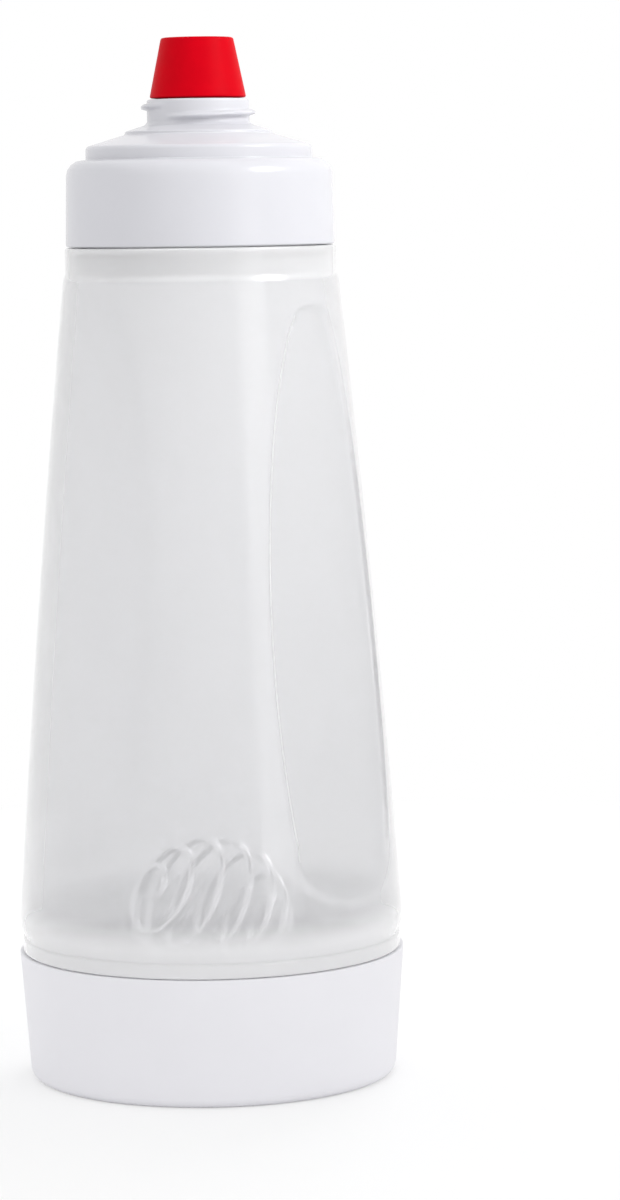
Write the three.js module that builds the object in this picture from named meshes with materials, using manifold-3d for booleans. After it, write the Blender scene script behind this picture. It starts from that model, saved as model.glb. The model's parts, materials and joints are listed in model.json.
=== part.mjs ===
// Batter dispenser: a tapered squeeze bottle that stands on a screw-on base cup and carries a screw-on
// collar with a spout, a pull-out pouring nozzle, two sealing rings and a loose wire whisk ball inside.
// Millimetres, +Z up, origin at the centre of the foot. The two grip scoops face +X and -X.

import * as THREE from "three";
import { mergeVertices } from "three/addons/utils/BufferGeometryUtils.js";
import Module from "manifold-3d";

// Bottle
const BODY_HEIGHT = 189.3;
const BODY_BOTTOM_RADIUS = 51.9;
const BODY_TOP_RADIUS = 37.0;
const BODY_BULGE = 0.65;
const BOTTLE_WALL = 1.7;
const LAND_HEIGHT = 3.7;
const LAND_INSET = 0.6;
const GROOVE_DEPTH = 0.5;
const LOWER_EDGE_HEIGHT = 5.6;
const RING_HEIGHT = 7.2;
const RING_INSET = 0.6;
const LOWER_NECK_STEP = 4.8;
const UPPER_NECK_STEP = 5.3;
const NECK_WALL = 1.9;
const RIM_CHAMFER = 0.5;

// Grip scoops: depths below the round body at three heights, and the roundings at both ends
const GRIP_TOP_MARGIN = 17.5;
const GRIP_BOTTOM_MARGIN = 26.5;
const GRIP_TOP_DEPTH = 0.7;
const GRIP_MIDDLE_DEPTH = 5.3;
const GRIP_BOTTOM_DEPTH = 4.0;
const GRIP_TOP_ROUNDING = 5;
const GRIP_BOTTOM_ROUNDING = 8;

// Base cup
const BASE_HEIGHT = 34.6;
const BASE_RIM_WALL = 3.0;
const BASE_TAPER = 2.6;
const FOOT_ROUNDING = 2.5;
const FOOT_RING_WIDTH = 2.2;
const FLOOR_HEIGHT = 20;
const FLOOR_THICKNESS = 2.4;
const SKIRT_WALL = 2.6;
const SEAM_GAP = 0.6;

// Collar and spout
const COLLAR_GAP = 1.7;
const COLLAR_BAND_HEIGHT = 17.4;
const COLLAR_WALL = 2.25;
const COLLAR_TAPER = 0.5;
const COLLAR_EDGE_WIDTH = 4.3;
const COLLAR_EDGE_HEIGHT = 4.2;
const CEILING_DROP = 1.0;
const DISC_STEP = 0.95;
const DISC_HEIGHT = 3.5;
const DISC_CHAMFER = 0.8;
const DOME_STEP = 1.8;
const SHOULDER_RISE = 5.5;
const SHOULDER_STEP_RADIUS = 19.7;
const SHOULDER_STEP_HEIGHT = 0.8;
const SHOULDER_WALL = 2.2;
const SPOUT_HEIGHT = 6.9;
const SPOUT_RADIUS = 13.7;
const SPOUT_WALL = 2.2;
const SPOUT_FOOT_FLARE = 0.8;

// Screw threads, right-handed: one for both ends of the bottle and a finer one on the spout
const THREAD_PITCH = 5;
const THREAD_HEIGHT = 1.5;
const THREAD_ROOT_WIDTH = 2.4;
const THREAD_CREST_WIDTH = 1.2;
const THREAD_CLEARANCE = 0.6;
const COLLAR_THREAD_MARGIN = 2.7;
const BASE_THREAD_MARGIN = 1.6;
const SPOUT_THREAD_PITCH = 3.2;
const SPOUT_THREAD_HEIGHT = 1.6;
const SPOUT_THREAD_ROOT_WIDTH = 1.9;
const SPOUT_THREAD_CREST_WIDTH = 0.8;
const SPOUT_THREAD_MARGIN = 0.1;
const SPOUT_THREAD_START = 265;
const THREAD_EMBED = 0.5;
const THREAD_RUN_OUT = 40;
const THREAD_END_SHARE = 0.15;

// Sealing rings
const BASE_GASKET_THICKNESS = 1.7;
const COLLAR_GASKET_THICKNESS = 1.7;
const GASKET_OVERLAP = 1.2;
const SEAL_CLEARANCE = 0.3;
const GASKET_SIDE_CLEARANCE = 0.4;

// Nozzle
const NOZZLE_HEIGHT = 16;
const NOZZLE_TIP_RADIUS = 9.65;
const NOZZLE_RIM_INSET = 0.75;
const NOZZLE_EDGE = 0.6;
const NOZZLE_WALL = 2.2;
const NOZZLE_TIP_THICKNESS = 3;
const POUR_HOLE_RADIUS = 3.5;
const TAIL_CLEARANCE = 0.3;
const TAIL_OVERHANG = 0.5;
const NOZZLE_SEAT_GAP = 0.3;

// Whisk ball: one wire wound over a sphere, its winding axis turned towards the side of the bottle
const BALL_RADIUS = 22.5;
const WIRE_DIAMETER = 2.3;
const BALL_TURNS = 7;
const BALL_POLE_ANGLE = 14;
const BALL_AXIS_AZIMUTH = 250;
const BALL_AXIS_ELEVATION = 24;
const BALL_CLEARANCE = 0.3;

// Fineness of round shapes
const ROUND_SEGMENTS = 48;
const NOZZLE_SEGMENTS = 40;
const THREAD_STEPS_PER_TURN = 32;
const WIRE_STEPS_PER_TURN = 24;
const WIRE_SIDES = 6;
const BODY_STATIONS = 9;
const GRIP_STATIONS = 10;
const EDGE_STEPS = 4;
const CUT_MARGIN = 1;
const LEAST_THREAD_STEPS = 6;
const WELD_DISTANCE = 1e-4;

// Heights, worked out from the foot upwards
const seamBottom = BASE_HEIGHT;
const landBottom = seamBottom + SEAM_GAP;
const landTop = landBottom + LAND_HEIGHT;
const bodyBottom = landTop + LOWER_EDGE_HEIGHT;
const ringTop = landBottom + BODY_HEIGHT;
const ringBottom = ringTop - RING_HEIGHT;
const bodyTop = ringBottom - RING_INSET;
const lowerRim = FLOOR_HEIGHT + BASE_GASKET_THICKNESS + 2 * SEAL_CLEARANCE;
const collarBottom = ringTop + COLLAR_GAP;
const collarEdge = collarBottom + COLLAR_BAND_HEIGHT;
const collarCeiling = collarEdge - CEILING_DROP;
const upperRim = collarCeiling - COLLAR_GASKET_THICKNESS - 2 * SEAL_CLEARANCE;
const discBottom = collarEdge + COLLAR_EDGE_HEIGHT;
const discTop = discBottom + DISC_HEIGHT;
const spoutFoot = discTop + SHOULDER_RISE;
const spoutRim = spoutFoot + SPOUT_HEIGHT;
const nozzleBottom = spoutRim + NOZZLE_SEAT_GAP;
const nozzleTop = nozzleBottom + NOZZLE_HEIGHT;

// Radii, worked out from the bottle outwards and inwards
const landRadius = BODY_BOTTOM_RADIUS - LAND_INSET;
const ringRadius = BODY_TOP_RADIUS - RING_INSET;
const lowerNeckRadius = BODY_BOTTOM_RADIUS - LOWER_NECK_STEP;
const lowerNeckBore = lowerNeckRadius - NECK_WALL;
const upperNeckRadius = BODY_TOP_RADIUS - UPPER_NECK_STEP;
const upperNeckBore = upperNeckRadius - NECK_WALL;
const baseBore = lowerNeckRadius + THREAD_HEIGHT + THREAD_CLEARANCE;
const baseRimRadius = baseBore + BASE_RIM_WALL;
const baseFootRadius = baseRimRadius - BASE_TAPER;
const collarBore = upperNeckRadius + THREAD_HEIGHT + THREAD_CLEARANCE;
const collarLowerRadius = collarBore + COLLAR_WALL;
const collarUpperRadius = collarLowerRadius - COLLAR_TAPER;
const collarShelfRadius = collarUpperRadius - COLLAR_EDGE_WIDTH;
const discRadius = collarShelfRadius - DISC_STEP;
const domeRadius = upperNeckBore - DOME_STEP;
const spoutBore = SPOUT_RADIUS - SPOUT_WALL;
const tailRadius = spoutBore - TAIL_CLEARANCE;
const nozzleBaseRadius = SPOUT_RADIUS - NOZZLE_RIM_INSET;

const wasm = await Module();
wasm.setup();

// Drops all but the positions, merges shared corners and leaves out triangles that closed up at the axis
function weld(geometry) {
  const bare = geometry.clone();
  bare.deleteAttribute("normal");
  bare.deleteAttribute("uv");
  const merged = mergeVertices(bare, WELD_DISTANCE);
  const kept = [];
  const index = merged.index.array;
  for (let i = 0; i < index.length; i += 3) {
    const [a, b, c] = [index[i], index[i + 1], index[i + 2]];
    if (a !== b && b !== c && c !== a) {
      kept.push(a, b, c);
    }
  }
  merged.setIndex(kept);
  return merged;
}

// Six times the enclosed volume: negative when the faces point inwards
function signedVolume(geometry) {
  const position = geometry.attributes.position;
  const index = geometry.index.array;
  const [a, b, c] = [new THREE.Vector3(), new THREE.Vector3(), new THREE.Vector3()];
  let total = 0;
  for (let i = 0; i < index.length; i += 3) {
    a.fromBufferAttribute(position, index[i]);
    b.fromBufferAttribute(position, index[i + 1]);
    c.fromBufferAttribute(position, index[i + 2]);
    total += a.dot(b.cross(c));
  }
  return total;
}

function closed(geometry) {
  const welded = weld(geometry);
  if (signedVolume(welded) < 0) {
    welded.index.array.reverse();
  }
  return welded;
}

function solidOf(geometry) {
  const body = closed(geometry);
  const vertProperties = new Float32Array(body.attributes.position.array);
  const triVerts = new Uint32Array(body.index.array);
  return new wasm.Manifold(new wasm.Mesh({ numProp: 3, vertProperties, triVerts }));
}

function geometryOf(solid) {
  const { vertProperties, triVerts } = solid.getMesh();
  const geometry = new THREE.BufferGeometry();
  geometry.setAttribute("position", new THREE.BufferAttribute(new Float32Array(vertProperties), 3));
  geometry.setIndex(new THREE.BufferAttribute(new Uint32Array(triVerts), 1));
  return geometry;
}

// Turns a profile of [radius, height] points about the Z axis; off the axis the profile closes on itself
function turned(profile, segments = ROUND_SEGMENTS) {
  const points = profile.map(([radius, height]) => new THREE.Vector2(radius, height));
  const onAxis = profile[0][0] === 0 && profile[profile.length - 1][0] === 0;
  if (!onAxis) {
    points.push(points[0].clone());
  }
  return new THREE.LatheGeometry(points, segments).rotateX(Math.PI / 2);
}

// Points of an elliptical arc in the profile plane, from one angle to another in degrees
function arc(centreRadius, centreHeight, width, height, from, to, steps = EDGE_STEPS) {
  return Array.from({ length: steps + 1 }, (_, i) => {
    const angle = THREE.MathUtils.degToRad(from + ((to - from) * i) / steps);
    return [centreRadius + width * Math.cos(angle), centreHeight + height * Math.sin(angle)];
  });
}

// One closed skin over rings of corners, joined ring to ring and capped flat at both ends
function skinOver(rings) {
  const sides = rings[0].length;
  const index = [];
  for (let i = 0; i + 1 < rings.length; i += 1) {
    for (let j = 0; j < sides; j += 1) {
      const here = i * sides + j;
      const next = i * sides + ((j + 1) % sides);
      index.push(here, next, next + sides, here, next + sides, here + sides);
    }
  }
  const last = (rings.length - 1) * sides;
  for (let j = 1; j + 1 < sides; j += 1) {
    index.push(0, j + 1, j, last, last + j, last + j + 1);
  }
  const geometry = new THREE.BufferGeometry();
  geometry.setAttribute("position", new THREE.Float32BufferAttribute(rings.flat(2), 3));
  geometry.setIndex(index);
  return geometry;
}

// Right-handed thread ridge on a round wall: outwards for a positive height, inwards for a negative one
function threadRidge({ wall, height, pitch, turns, start, startAngle = 0, rootWidth, crestWidth }) {
  const steps = Math.max(LEAST_THREAD_STEPS, Math.round(turns * THREAD_STEPS_PER_TURN));
  const root = wall - Math.sign(height) * THREAD_EMBED;
  const rings = Array.from({ length: steps + 1 }, (_, i) => {
    const turn = (turns * 360 * i) / steps;
    const fromEnd = Math.min(turn, turns * 360 - turn) / THREAD_RUN_OUT;
    const crest = wall + height * Math.min(1, THREAD_END_SHARE + (1 - THREAD_END_SHARE) * fromEnd);
    const angle = THREE.MathUtils.degToRad(startAngle + turn);
    const middle = start + (pitch * turn) / 360;
    const section = [
      [root, middle - rootWidth / 2],
      [crest, middle - crestWidth / 2],
      [crest, middle + crestWidth / 2],
      [root, middle + rootWidth / 2],
    ];
    return section.map(([radius, z]) => [radius * Math.cos(angle), radius * Math.sin(angle), z]);
  });
  return skinOver(rings);
}

// A neck's thread and its cap's thread share one zone and run half a pitch apart
function threadZone(bottom, top, margin) {
  const room = top - bottom - 2 * margin - THREAD_ROOT_WIDTH - THREAD_PITCH / 2;
  return {
    turns: room / THREAD_PITCH,
    low: bottom + margin + THREAD_ROOT_WIDTH / 2,
    high: bottom + margin + THREAD_ROOT_WIDTH / 2 + THREAD_PITCH / 2,
  };
}

const threadForm = { pitch: THREAD_PITCH, rootWidth: THREAD_ROOT_WIDTH, crestWidth: THREAD_CREST_WIDTH };
const collarZone = threadZone(ringTop, upperRim, COLLAR_THREAD_MARGIN);
const baseZone = threadZone(lowerRim, landBottom, BASE_THREAD_MARGIN);

// Radius of the round body: a straight taper with a slight belly
function bodyRadius(z) {
  const t = (z - bodyBottom) / (bodyTop - bodyBottom);
  return BODY_BOTTOM_RADIUS + (BODY_TOP_RADIUS - BODY_BOTTOM_RADIUS) * t + 4 * BODY_BULGE * t * (1 - t);
}

function bodyStations(inset) {
  return Array.from({ length: BODY_STATIONS + 1 }, (_, i) => {
    const z = bodyBottom + ((bodyTop - bodyBottom) * i) / BODY_STATIONS;
    return [bodyRadius(z) - inset, z];
  });
}

// Distance of the scoop's floor from the axis: one parabola through its depths at three heights
const gripTop = ringTop - GRIP_TOP_MARGIN;
const gripBottom = landBottom + GRIP_BOTTOM_MARGIN;
const gripMiddle = (gripTop + gripBottom) / 2;

function gripFloor(z) {
  const half = (gripTop - gripBottom) / 2;
  const low = bodyRadius(gripBottom) - GRIP_BOTTOM_DEPTH;
  const middle = bodyRadius(gripMiddle) - GRIP_MIDDLE_DEPTH;
  const high = bodyRadius(gripTop) - GRIP_TOP_DEPTH;
  const t = (z - gripMiddle) / half;
  return middle + ((high - low) / 2) * t + ((high + low) / 2 - middle) * t * t;
}

// What a scoop takes away: its side outline drawn across the bottle. The inset deepens it by a wall.
function gripCutter(inset, side) {
  const outer = BODY_BOTTOM_RADIUS + GRIP_BOTTOM_ROUNDING + CUT_MARGIN;
  const lowRounding = GRIP_BOTTOM_ROUNDING + inset;
  const highRounding = GRIP_TOP_ROUNDING + inset;
  const lowCentre = gripFloor(gripBottom) + GRIP_BOTTOM_ROUNDING;
  const highCentre = gripFloor(gripTop) + GRIP_TOP_ROUNDING;
  const floor = Array.from({ length: GRIP_STATIONS - 1 }, (_, i) => {
    const z = gripBottom + ((gripTop - gripBottom) * (i + 1)) / GRIP_STATIONS;
    return [gripFloor(z) - inset, z];
  });
  const outline = [
    [outer, gripBottom - lowRounding],
    ...arc(lowCentre, gripBottom, lowRounding, lowRounding, 270, 180),
    ...floor,
    ...arc(highCentre, gripTop, highRounding, highRounding, 180, 90),
    [outer, gripTop + highRounding],
  ];
  const shape = new THREE.Shape(outline.map(([x, z]) => new THREE.Vector2(x, z)));
  const width = 2 * BODY_BOTTOM_RADIUS;
  const cutter = new THREE.ExtrudeGeometry(shape, { depth: width, bevelEnabled: false });
  cutter.translate(0, 0, -width / 2).rotateX(Math.PI / 2);
  return solidOf(side > 0 ? cutter : cutter.rotateZ(Math.PI));
}

function scooped(solid, inset) {
  return solid.subtract(gripCutter(inset, 1)).subtract(gripCutter(inset, -1));
}

function bottleGeometry() {
  const grooveRadius = landRadius - GROOVE_DEPTH;
  const edgeWidth = BODY_BOTTOM_RADIUS - grooveRadius;
  const lowerEdge = arc(grooveRadius, bodyBottom, edgeWidth, LOWER_EDGE_HEIGHT, 270, 360);
  const outside = turned([
    [0, lowerRim],
    [lowerNeckRadius - RIM_CHAMFER, lowerRim],
    [lowerNeckRadius, lowerRim + RIM_CHAMFER],
    [lowerNeckRadius, landBottom],
    [landRadius - RIM_CHAMFER, landBottom],
    [landRadius, landBottom + RIM_CHAMFER],
    [landRadius, landTop - GROOVE_DEPTH],
    ...lowerEdge.slice(0, -1),
    ...bodyStations(0),
    [ringRadius, ringBottom],
    [ringRadius, ringTop - RIM_CHAMFER],
    [ringRadius - RIM_CHAMFER, ringTop],
    [upperNeckRadius, ringTop],
    [upperNeckRadius, upperRim - RIM_CHAMFER],
    [upperNeckRadius - RIM_CHAMFER, upperRim],
    [0, upperRim],
  ]);
  const inside = turned([
    [0, lowerRim - CUT_MARGIN],
    [lowerNeckBore, lowerRim - CUT_MARGIN],
    [lowerNeckBore, landBottom + BOTTLE_WALL],
    ...bodyStations(BOTTLE_WALL),
    [ringRadius - BOTTLE_WALL, ringBottom],
    [upperNeckBore, ringTop - BOTTLE_WALL],
    [upperNeckBore, upperRim + CUT_MARGIN],
    [0, upperRim + CUT_MARGIN],
  ]);
  const lowerThread = threadRidge({
    ...threadForm,
    wall: lowerNeckRadius,
    height: THREAD_HEIGHT,
    turns: baseZone.turns,
    start: baseZone.low,
  });
  const upperThread = threadRidge({
    ...threadForm,
    wall: upperNeckRadius,
    height: THREAD_HEIGHT,
    turns: collarZone.turns,
    start: collarZone.high,
  });
  const shell = scooped(solidOf(outside), 0).subtract(scooped(solidOf(inside), BOTTLE_WALL));
  return geometryOf(shell.add(solidOf(lowerThread)).add(solidOf(upperThread)));
}

// The outside narrows from the rim to the foot; the floor stands high over a hollow foot
function baseOuterRadius(z) {
  return baseFootRadius + (BASE_TAPER * z) / BASE_HEIGHT;
}

function baseCupGeometry() {
  const underside = FLOOR_HEIGHT - FLOOR_THICKNESS;
  const footRadius = baseOuterRadius(FOOT_ROUNDING);
  const footFlat = footRadius - FOOT_ROUNDING;
  const cup = turned([
    [0, underside],
    [baseOuterRadius(underside) - SKIRT_WALL, underside],
    [footFlat - FOOT_RING_WIDTH, 0],
    ...arc(footFlat, FOOT_ROUNDING, FOOT_ROUNDING, FOOT_ROUNDING, 270, 360),
    [baseRimRadius, BASE_HEIGHT - RIM_CHAMFER],
    [baseRimRadius - RIM_CHAMFER, BASE_HEIGHT],
    [baseBore, BASE_HEIGHT],
    [baseBore, FLOOR_HEIGHT],
    [0, FLOOR_HEIGHT],
  ]);
  const thread = threadRidge({
    ...threadForm,
    wall: baseBore,
    height: -THREAD_HEIGHT,
    turns: baseZone.turns,
    start: baseZone.high,
  });
  return geometryOf(solidOf(cup).add(solidOf(thread)));
}

function collarGeometry() {
  const spoutFlare = SPOUT_RADIUS + SPOUT_FOOT_FLARE;
  const stepShare = (discRadius - SHOULDER_STEP_RADIUS) / (discRadius - spoutFlare);
  const stepFoot = discTop + stepShare * (SHOULDER_RISE - SHOULDER_STEP_HEIGHT);
  const boreFoot = spoutFoot - SHOULDER_WALL;
  const cap = turned([
    [collarBore, collarBottom],
    [collarLowerRadius, collarBottom],
    ...arc(collarShelfRadius, collarEdge, COLLAR_EDGE_WIDTH, COLLAR_EDGE_HEIGHT, 0, 90),
    [discRadius, discBottom],
    [discRadius, discTop - DISC_CHAMFER],
    [discRadius - DISC_CHAMFER, discTop],
    [SHOULDER_STEP_RADIUS, stepFoot],
    [SHOULDER_STEP_RADIUS, stepFoot + SHOULDER_STEP_HEIGHT],
    [spoutFlare, spoutFoot],
    [SPOUT_RADIUS, spoutFoot + SPOUT_FOOT_FLARE],
    [SPOUT_RADIUS, spoutRim - RIM_CHAMFER],
    [SPOUT_RADIUS - RIM_CHAMFER, spoutRim],
    [spoutBore, spoutRim],
    [spoutBore, boreFoot],
    [domeRadius, discTop - SHOULDER_WALL],
    [domeRadius, collarCeiling],
    [collarBore, collarCeiling],
  ]);
  const thread = threadRidge({
    ...threadForm,
    wall: collarBore,
    height: -THREAD_HEIGHT,
    turns: collarZone.turns,
    start: collarZone.low,
  });
  const threadFoot = spoutFoot + SPOUT_FOOT_FLARE + SPOUT_THREAD_MARGIN + SPOUT_THREAD_ROOT_WIDTH / 2;
  const threadHead = spoutRim - RIM_CHAMFER - SPOUT_THREAD_MARGIN - SPOUT_THREAD_ROOT_WIDTH / 2;
  const spoutThread = threadRidge({
    wall: SPOUT_RADIUS,
    height: SPOUT_THREAD_HEIGHT,
    pitch: SPOUT_THREAD_PITCH,
    turns: (threadHead - threadFoot) / SPOUT_THREAD_PITCH,
    start: threadFoot,
    startAngle: SPOUT_THREAD_START,
    rootWidth: SPOUT_THREAD_ROOT_WIDTH,
    crestWidth: SPOUT_THREAD_CREST_WIDTH,
  });
  return geometryOf(solidOf(cap).add(solidOf(thread)).add(solidOf(spoutThread)));
}

function gasketGeometry(neckBore, capBore, bottom, thickness) {
  const inner = neckBore - GASKET_OVERLAP;
  const outer = capBore - GASKET_SIDE_CLEARANCE;
  const top = bottom + thickness;
  return closed(turned([[inner, bottom], [outer, bottom], [outer, top], [inner, top]]));
}

function nozzleGeometry() {
  const tailBottom = spoutFoot - SHOULDER_WALL - TAIL_OVERHANG;
  const tipCeiling = nozzleTop - NOZZLE_TIP_THICKNESS;
  const narrowing = (nozzleBaseRadius - NOZZLE_TIP_RADIUS) / NOZZLE_HEIGHT;
  const ceilingRadius = nozzleBaseRadius - narrowing * (tipCeiling - nozzleBottom) - NOZZLE_WALL;
  return closed(
    turned(
      [
        [tailRadius - NOZZLE_WALL, tailBottom],
        [tailRadius, tailBottom],
        [tailRadius, nozzleBottom],
        [nozzleBaseRadius, nozzleBottom],
        [NOZZLE_TIP_RADIUS + narrowing * NOZZLE_EDGE, nozzleTop - NOZZLE_EDGE],
        [NOZZLE_TIP_RADIUS - NOZZLE_EDGE, nozzleTop],
        [POUR_HOLE_RADIUS, nozzleTop],
        [POUR_HOLE_RADIUS, tipCeiling],
        [ceilingRadius, tipCeiling],
        [tailRadius - NOZZLE_WALL, nozzleBottom],
      ],
      NOZZLE_SEGMENTS,
    ),
  );
}

// Middle line of the wire: from pole to pole at an even rate while it goes round
function wirePoint(turn) {
  const reach = BALL_RADIUS - WIRE_DIAMETER / 2;
  const polar = THREE.MathUtils.degToRad(
    BALL_POLE_ANGLE + ((180 - 2 * BALL_POLE_ANGLE) * turn) / BALL_TURNS,
  );
  return new THREE.Vector3().setFromSphericalCoords(reach, polar, 2 * Math.PI * turn);
}

function whiskBallGeometry() {
  const steps = BALL_TURNS * WIRE_STEPS_PER_TURN;
  const line = Array.from({ length: steps + 1 }, (_, i) => wirePoint((BALL_TURNS * i) / steps));
  const rings = line.map((point, i) => {
    const before = line[Math.max(i - 1, 0)];
    const after = line[Math.min(i + 1, steps)];
    const along = after.clone().sub(before).normalize();
    const across = along.clone().cross(point).normalize();
    const outwards = across.clone().cross(along);
    return Array.from({ length: WIRE_SIDES }, (_, j) => {
      const angle = (2 * Math.PI * j) / WIRE_SIDES;
      const corner = point.clone().addScaledVector(outwards, (WIRE_DIAMETER / 2) * Math.cos(angle));
      return corner.addScaledVector(across, (WIRE_DIAMETER / 2) * Math.sin(angle)).toArray();
    });
  });
  console.log(`whisk ball: least gap between turns ${leastGap(line).toFixed(2)} mm`);
  const elevation = THREE.MathUtils.degToRad(BALL_AXIS_ELEVATION);
  const azimuth = THREE.MathUtils.degToRad(BALL_AXIS_AZIMUTH);
  const axis = new THREE.Vector3(1, 0, 0).applyEuler(new THREE.Euler(0, -elevation, azimuth, "ZYX"));
  const lean = new THREE.Quaternion().setFromUnitVectors(new THREE.Vector3(0, 1, 0), axis);
  return closed(skinOver(rings).applyQuaternion(lean));
}

// Least clear distance between points of the wire that lie at least half a turn apart along it
function leastGap(line) {
  let least = Infinity;
  for (let i = 0; i < line.length; i += 1) {
    for (let j = i + WIRE_STEPS_PER_TURN / 2; j < line.length; j += 1) {
      least = Math.min(least, line[i].distanceTo(line[j]) - WIRE_DIAMETER);
    }
  }
  return least;
}

function piece(name, geometry, look) {
  const mesh = new THREE.Mesh(geometry, new THREE.MeshStandardMaterial(look));
  mesh.name = name;
  return mesh;
}

const frosted = { color: 0xe4e7ea, roughness: 0.45, metalness: 0, transparent: true, opacity: 0.6 };
const milky = { color: 0xebebf0, roughness: 0.4, metalness: 0, transparent: true, opacity: 0.85 };
const glossWhite = { color: 0xf2f3f5, roughness: 0.25, metalness: 0 };
const clearSilicone = { color: 0xd9dcdc, roughness: 0.6, metalness: 0 };
const redSilicone = { color: 0xd4101c, roughness: 0.4, metalness: 0 };
const steel = { color: 0xb9bdc0, roughness: 0.25, metalness: 1 };

const baseGasketBottom = FLOOR_HEIGHT + SEAL_CLEARANCE;
const collarGasketBottom = upperRim + SEAL_CLEARANCE;
const baseGasket = gasketGeometry(lowerNeckBore, baseBore, baseGasketBottom, BASE_GASKET_THICKNESS);
const collarGasket = gasketGeometry(upperNeckBore, collarBore, collarGasketBottom, COLLAR_GASKET_THICKNESS);
const whiskBall = piece("whisk_ball", whiskBallGeometry(), steel);
whiskBall.geometry.computeBoundingBox();
whiskBall.position.z = FLOOR_HEIGHT + BALL_CLEARANCE - whiskBall.geometry.boundingBox.min.z;

const dispenser = new THREE.Group();
dispenser.add(
  piece("bottle", bottleGeometry(), frosted),
  piece("base_cup", baseCupGeometry(), milky),
  piece("base_gasket", baseGasket, clearSilicone),
  piece("collar", collarGeometry(), glossWhite),
  piece("collar_gasket", collarGasket, clearSilicone),
  piece("nozzle", nozzleGeometry(), redSilicone),
  whiskBall,
);

export default dispenser;
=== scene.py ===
"""Batter dispenser: a frosted squeeze bottle that stands on a screw-on base cup and carries a screw-on
collar with a spout, a red pouring nozzle, two sealing rings and a loose wire whisk ball.

Metres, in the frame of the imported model: +Z up, the foot at the origin, and the grip scoops facing
+X and -X.
"""

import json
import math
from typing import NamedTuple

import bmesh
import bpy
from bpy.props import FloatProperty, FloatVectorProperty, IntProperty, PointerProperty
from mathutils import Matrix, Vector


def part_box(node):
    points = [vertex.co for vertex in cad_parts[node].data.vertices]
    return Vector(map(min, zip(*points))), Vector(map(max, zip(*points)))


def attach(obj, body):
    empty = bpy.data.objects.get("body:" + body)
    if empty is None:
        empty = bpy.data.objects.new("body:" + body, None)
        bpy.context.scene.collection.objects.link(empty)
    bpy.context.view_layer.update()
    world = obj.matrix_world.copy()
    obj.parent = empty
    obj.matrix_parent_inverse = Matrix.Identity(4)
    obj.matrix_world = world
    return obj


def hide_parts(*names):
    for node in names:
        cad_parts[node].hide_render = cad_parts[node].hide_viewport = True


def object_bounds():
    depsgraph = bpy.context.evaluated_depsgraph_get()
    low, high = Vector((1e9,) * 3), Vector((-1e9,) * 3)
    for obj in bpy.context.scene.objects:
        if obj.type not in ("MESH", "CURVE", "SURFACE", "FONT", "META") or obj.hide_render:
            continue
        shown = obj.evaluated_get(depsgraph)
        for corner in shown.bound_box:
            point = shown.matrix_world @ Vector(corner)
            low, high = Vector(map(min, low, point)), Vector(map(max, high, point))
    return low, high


bl_info = {
    "name": "Batter Dispenser",
    "version": (1, 0, 0),
    "blender": (4, 5, 0),
    "location": "3D View > Sidebar > Dispenser",
    "description": "Models the pieces and finishes of a batter dispenser around its packed frame",
    "category": "Add Mesh",
}

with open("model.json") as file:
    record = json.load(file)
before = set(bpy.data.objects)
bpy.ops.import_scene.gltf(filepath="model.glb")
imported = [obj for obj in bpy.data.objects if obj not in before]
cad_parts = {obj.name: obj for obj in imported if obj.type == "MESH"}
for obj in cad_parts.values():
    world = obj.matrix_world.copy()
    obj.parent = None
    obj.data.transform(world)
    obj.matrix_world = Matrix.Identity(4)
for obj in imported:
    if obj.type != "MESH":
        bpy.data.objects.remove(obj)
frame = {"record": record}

MM = 0.001
UP = Vector((0, 0, 1))
CAD_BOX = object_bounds()
BODY_NODES = frame["record"]["behaviour"]["bodies"]
NODE_BODY = {node: body for body, nodes in BODY_NODES.items() for node in nodes}

# Places that the frame gives
BOTTLE_LOW, BOTTLE_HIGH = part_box("bottle")
BASE_LOW, BASE_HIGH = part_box("base_cup")
COLLAR_LOW, COLLAR_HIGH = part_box("collar")
NOZZLE_LOW, NOZZLE_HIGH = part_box("nozzle")
BASE_SEAL_LOW, BASE_SEAL_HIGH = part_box("base_gasket")
COLLAR_SEAL_LOW, COLLAR_SEAL_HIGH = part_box("collar_gasket")
WHISK_LOW, WHISK_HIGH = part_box("whisk_ball")

# Rounding of most edges and of fine ones
EDGE = 0.6 * MM
SMALL_EDGE = 0.35 * MM

# Bottle: the land is the plain band just above the base cup, under a groove and a rolled edge
BODY_RADIUS = BOTTLE_HIGH.y
BODY_TOP_RADIUS = 37.0 * MM
SHOWN_HEIGHT = 189.9 * MM
SEAM = 0.1 * MM
LAND_HEIGHT = 4.3 * MM
LAND_INSET = 0.6 * MM
LAND_BOTTOM = BASE_HIGH.z + SEAM
LAND_TOP = BASE_HIGH.z + LAND_HEIGHT
LAND_RADIUS = BODY_RADIUS - LAND_INSET
GROOVE_DEPTH = 0.5 * MM
GROOVE_RADIUS = LAND_RADIUS - GROOVE_DEPTH
LOWER_EDGE_HEIGHT = 5.6 * MM
BODY_BOTTOM = LAND_TOP + LOWER_EDGE_HEIGHT
RING_HEIGHT = 7.2 * MM
RING_INSET = 0.6 * MM
RING_RUN = 1.6 * MM
RING_TOP = BASE_HIGH.z + SHOWN_HEIGHT
RING_BOTTOM = RING_TOP - RING_HEIGHT
RING_RADIUS = BODY_TOP_RADIUS - RING_INSET
BODY_TOP = RING_BOTTOM - RING_RUN
NECK_WALL = 1.9 * MM
LOWER_NECK_INSET = 4.8 * MM
UPPER_NECK_INSET = 5.3 * MM
LOWER_NECK_RADIUS = BODY_RADIUS - LOWER_NECK_INSET
UPPER_NECK_RADIUS = BODY_TOP_RADIUS - UPPER_NECK_INSET
LOWER_NECK_BORE = LOWER_NECK_RADIUS - NECK_WALL
UPPER_NECK_BORE = UPPER_NECK_RADIUS - NECK_WALL

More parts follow.
